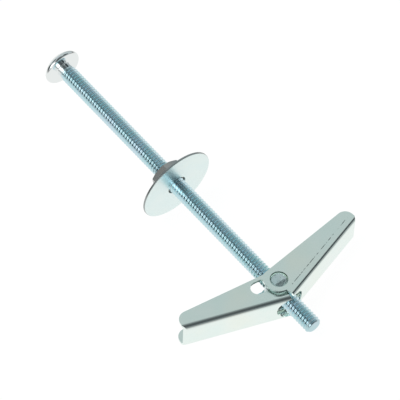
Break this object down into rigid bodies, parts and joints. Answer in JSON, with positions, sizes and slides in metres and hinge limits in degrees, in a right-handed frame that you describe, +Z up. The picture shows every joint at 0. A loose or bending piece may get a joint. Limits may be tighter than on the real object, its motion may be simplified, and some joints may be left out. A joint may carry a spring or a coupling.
{
  "type": "spring toggle bolt",
  "caption": "Long machine screw with a domed head, a nut and a wide washer, and folded steel wings that a spring opens on a threaded trunnion to hold behind a hollow wall.",
  "frame": {"origin": "on the floor under the middle of the object as it lies", "axes": "+X from the head towards the tip along the floor, +Y towards the right wing, +Z up"},
  "size_m": [0.1444, 0.0758, 0.0297],
  "materials": {
    "screw_zinc": "bright blue zinc plate on rolled thread",
    "nut_zinc": "bright blue zinc plate",
    "washer_zinc": "bright zinc plate with a faint iridescence",
    "trunnion_zinc": "bright zinc plate, rough sheared ends",
    "spring_steel": "drawn spring wire",
    "wing_zinc": "bright zinc plate on folded sheet"
  },
  "bodies": {
    "screw": {"machine_screw": "screw_zinc"},
    "nut": {"hex_nut": "nut_zinc"},
    "washer": {"flat_washer": "washer_zinc"},
    "toggle": {"trunnion_nut": "trunnion_zinc", "torsion_spring": "spring_steel"},
    "left_wing": {"wing_left": "wing_zinc"},
    "right_wing": {"wing_right": "wing_zinc"}
  },
  "joints": [
    {"name": "nut_travel", "type": "slide", "parent": "screw", "child": "nut", "axis": [0.993, 0, -0.118], "range_m": [-0.057, 0.006]},
    {"name": "washer_slide", "type": "slide", "parent": "nut", "child": "washer", "axis": [0.993, 0, -0.118], "range_m": [0, 0.004]},
    {"name": "toggle_travel", "type": "slide", "parent": "screw", "child": "toggle", "axis": [0.993, 0, -0.118], "range_m": [-0.006, 0.014]},
    {"name": "left_fold", "type": "hinge", "parent": "toggle", "child": "left_wing", "pos_m": [0.05271, -0.00021, 0.00763], "axis": [-0.1176, -0.0827, -0.9896], "range_deg": [0, 70.7], "stiffness_Nm_per_rad": 0.02, "springref_deg": -45.84, "deforming": ["torsion_spring"]},
    {"name": "right_fold", "type": "hinge", "parent": "toggle", "child": "right_wing", "pos_m": [0.05271, -0.00021, 0.00763], "axis": [0.1176, 0.0827, 0.9896], "range_deg": [0, 75.1], "stiffness_Nm_per_rad": 0.02, "springref_deg": -45.84, "deforming": ["torsion_spring"]}
  ]
}
